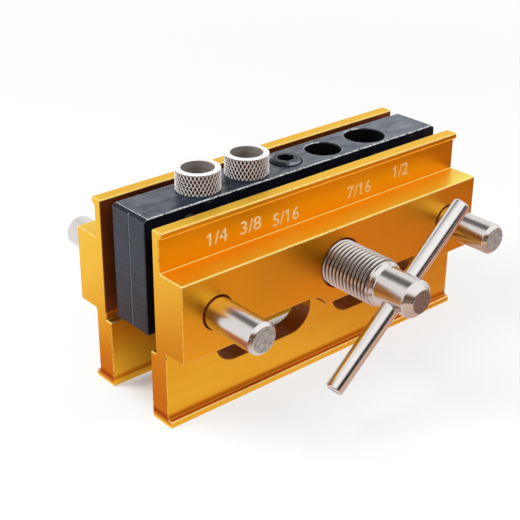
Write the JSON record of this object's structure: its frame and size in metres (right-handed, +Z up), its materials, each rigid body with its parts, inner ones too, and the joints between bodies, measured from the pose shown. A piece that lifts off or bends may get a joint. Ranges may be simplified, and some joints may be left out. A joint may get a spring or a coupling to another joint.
{
  "type": "self centering doweling jig",
  "caption": "Clamp-on drill guide that centres itself on a board's edge: jaws sliding on guide rods, an opposed-thread spindle with tommy bar, and a bored block with bushings.",
  "frame": {"origin": "centre of the guide block's bottom face, which rests on the edge of the board", "axes": "+X along the jig, with the open drill holes on the +X side; +Y across the jig, away from the spindle's turning head; +Z up, against the drill's feed"},
  "size_m": [0.116, 0.0997, 0.0668],
  "materials": {
    "gold_anodised_aluminium": "satin gold anodised extrusion",
    "black_oxide_steel": "ground and blackened",
    "polished_steel": "bright, finely turned",
    "knurled_steel": "bright with a diamond knurl"
  },
  "bodies": {
    "block": {"guide_block": "black_oxide_steel", "guide_rod_left": "polished_steel", "guide_rod_right": "polished_steel", "spindle_set_screw": "black_oxide_steel"},
    "spindle": {"clamp_spindle": "polished_steel", "tommy_bar": "polished_steel"},
    "front_jaw": {"front_jaw": "gold_anodised_aluminium"},
    "rear_jaw": {"rear_jaw": "gold_anodised_aluminium"},
    "bushing_left": {"drill_bushing_left": "knurled_steel"},
    "bushing_right": {"drill_bushing_right": "knurled_steel"}
  },
  "joints": [
    {"name": "spindle_turn", "type": "hinge", "parent": "block", "child": "spindle", "pos_m": [0, 0, 0.0109], "axis": [0, 1, 0], "range_deg": [-3980.5, 1097.5]},
    {"name": "front_jaw_slide", "type": "slide", "parent": "block", "child": "front_jaw", "axis": [0, 1, 0], "range_m": [-0.0156, 0.0043]},
    {"name": "rear_jaw_slide", "type": "slide", "parent": "block", "child": "rear_jaw", "axis": [0, -1, 0], "range_m": [-0.0156, 0.0043]},
    {"name": "bushing_left_lift", "type": "slide", "parent": "block", "child": "bushing_left", "axis": [0, 0, 1], "range_m": [0, 0.024]},
    {"name": "bushing_right_lift", "type": "slide", "parent": "block", "child": "bushing_right", "axis": [0, 0, 1], "range_m": [0, 0.024]}
  ],
  "couplings": [
    {"joint": "spindle_turn", "follows": "front_jaw_slide", "rad_per_m": 4452.9},
    {"joint": "rear_jaw_slide", "follows": "front_jaw_slide", "ratio": 1}
  ]
}
